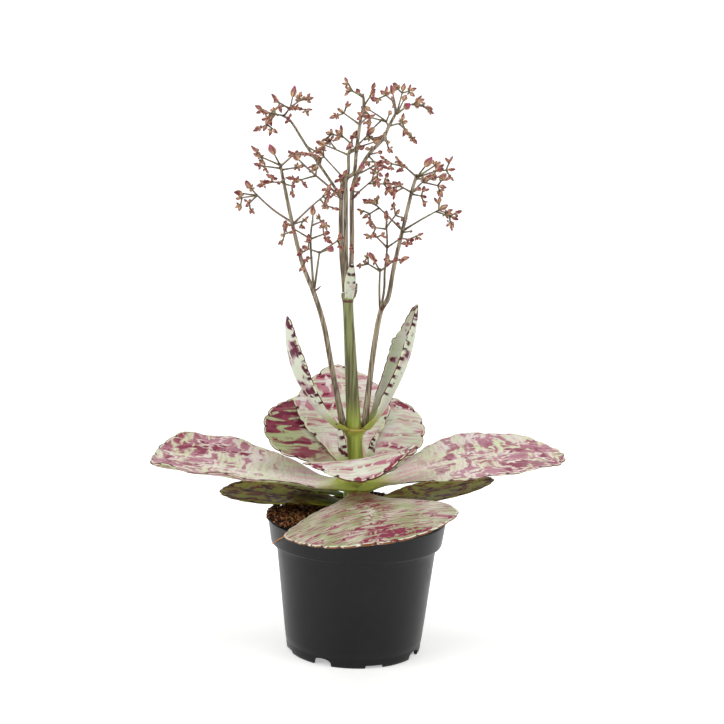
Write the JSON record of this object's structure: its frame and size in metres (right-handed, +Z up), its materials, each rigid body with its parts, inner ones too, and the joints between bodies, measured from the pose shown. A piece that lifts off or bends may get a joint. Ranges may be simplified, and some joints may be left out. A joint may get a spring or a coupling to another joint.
{
  "type": "potted kalanchoe",
  "caption": "Flowering kalanchoe with broad spotted leaves in crossed pairs and branching sprays of closed buds, in a round black nursery pot filled with soil.",
  "frame": {"origin": "on the ground under the pot's axis, at the level of the pot's foot", "axes": "+Z up along the pot's axis, -Y towards the side that the picture shows, +X to that side's right"},
  "size_m": [0.2787, 0.2717, 0.3804],
  "materials": {
    "pot_plastic": "satin black moulded plastic",
    "soil": "dull dark crumbs of peat and coir",
    "stem_green": "satin green stem",
    "leaf_spotted": "satin pale green with burgundy spots",
    "leaf_shaded": "satin olive green with maroon spots",
    "leaf_burgundy": "satin burgundy with broken pale green bands",
    "leaf_blush": "satin pale pink and white-green with rose bands",
    "leaf_whitish": "satin whitish green with small purple spots",
    "spray_buds": "matte dusty red buds on grey-green stalks"
  },
  "bodies": {
    "root": {"pot": "pot_plastic", "soil": "soil", "stem": "stem_green", "leaf_lower_left": "leaf_shaded", "leaf_lower_right": "leaf_shaded", "leaf_front": "leaf_spotted", "leaf_low_back": "leaf_shaded", "leaf_big_left": "leaf_spotted", "leaf_big_right": "leaf_spotted", "leaf_small_front": "leaf_blush", "leaf_back_left": "leaf_burgundy", "leaf_back_right": "leaf_blush", "leaf_back_centre": "leaf_blush", "leaf_upright_left": "leaf_whitish", "leaf_upright_right": "leaf_whitish", "leaf_under_left": "leaf_shaded", "leaf_young_left": "leaf_whitish", "leaf_young_right": "leaf_whitish", "bract_front": "leaf_whitish", "bract_right": "leaf_whitish", "spray_left": "spray_buds", "spray_right": "spray_buds", "spray_centre": "spray_buds"}
  },
  "joints": []
}
